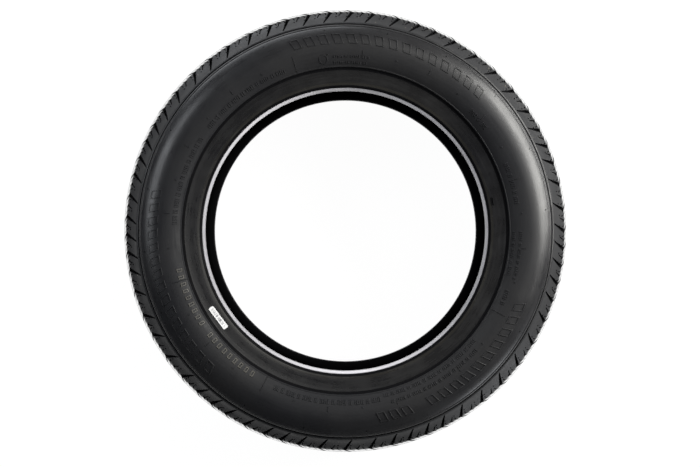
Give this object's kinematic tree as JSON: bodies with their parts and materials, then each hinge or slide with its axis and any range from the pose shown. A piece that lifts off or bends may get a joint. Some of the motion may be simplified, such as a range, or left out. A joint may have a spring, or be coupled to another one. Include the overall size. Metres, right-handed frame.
{
  "type": "trailer tyre",
  "caption": "Low-section rubber trailer tyre with ribbed tread, hooked shoulder grooves and smooth sidewalls, lying on its side.",
  "frame": {"origin": "middle of the tyre, on its axis and in its middle plane", "axes": "+Z along the tyre's axis, up as it lies on its side; X and Y in its middle plane"},
  "size_m": [0.526, 0.5258, 0.201],
  "materials": {
    "rubber": "satin moulded black rubber",
    "paper": "matt white paper sticker"
  },
  "bodies": {
    "root": {"tyre": "rubber", "bead_label": "paper"}
  },
  "joints": []
}
